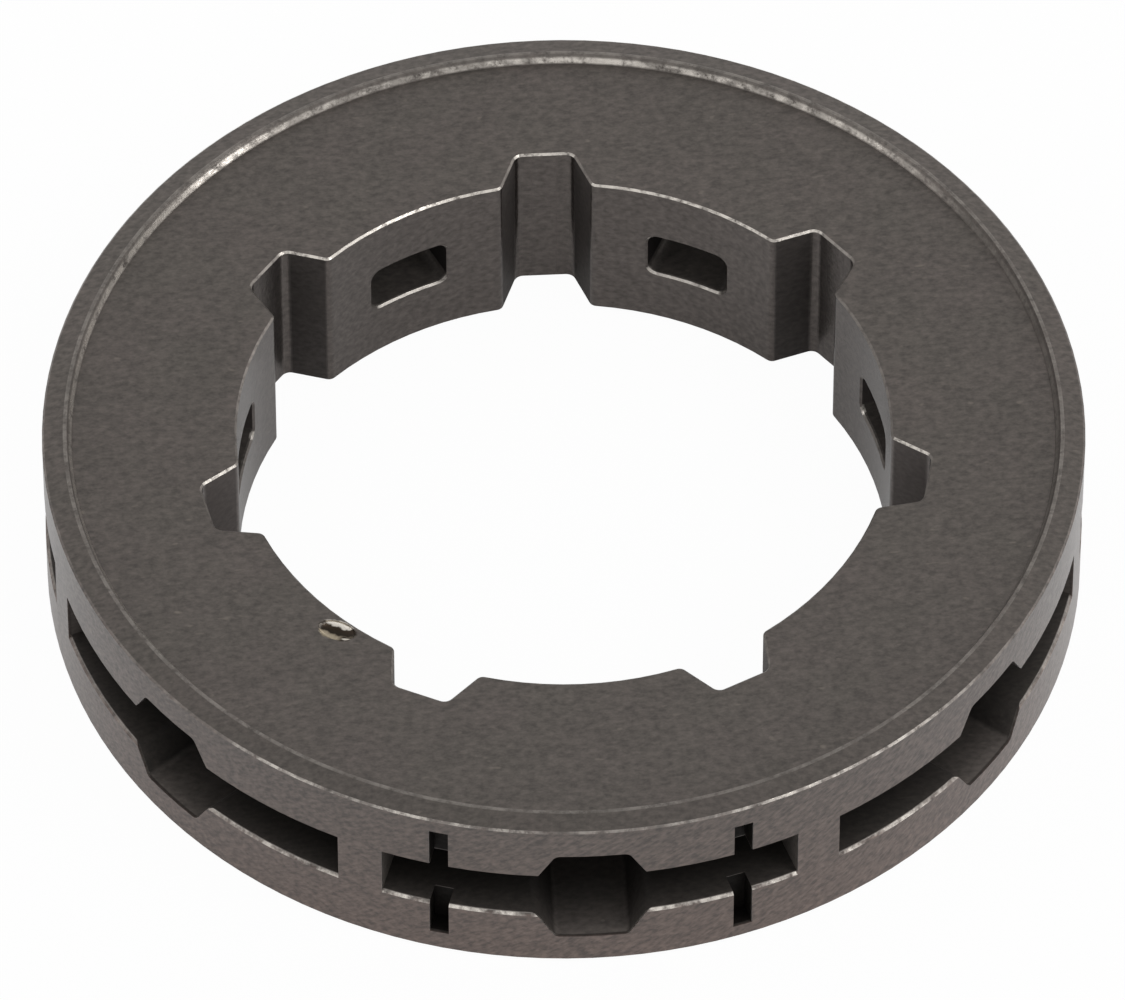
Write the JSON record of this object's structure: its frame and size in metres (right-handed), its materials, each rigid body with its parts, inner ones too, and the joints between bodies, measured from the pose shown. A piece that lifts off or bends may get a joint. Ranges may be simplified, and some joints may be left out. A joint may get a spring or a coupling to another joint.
{
  "type": "chainsaw rim sprocket",
  "caption": "Flat steel ring that drives a saw chain: slotted drive link pockets round the outside, windows through to a splined bore, and a raised band on each side face.",
  "frame": {"origin": "on the bore's axis, in the plane that the lower raised band rests on", "axes": "+Z along the bore's axis, away from the surface it lies on; the pocket with the two slits faces -Y"},
  "size_m": [0.0354, 0.0354, 0.0071],
  "materials": {
    "steel": "dark satin phosphated steel, edges rubbed bright"
  },
  "bodies": {
    "root": {"rim_sprocket": "steel"}
  },
  "joints": []
}
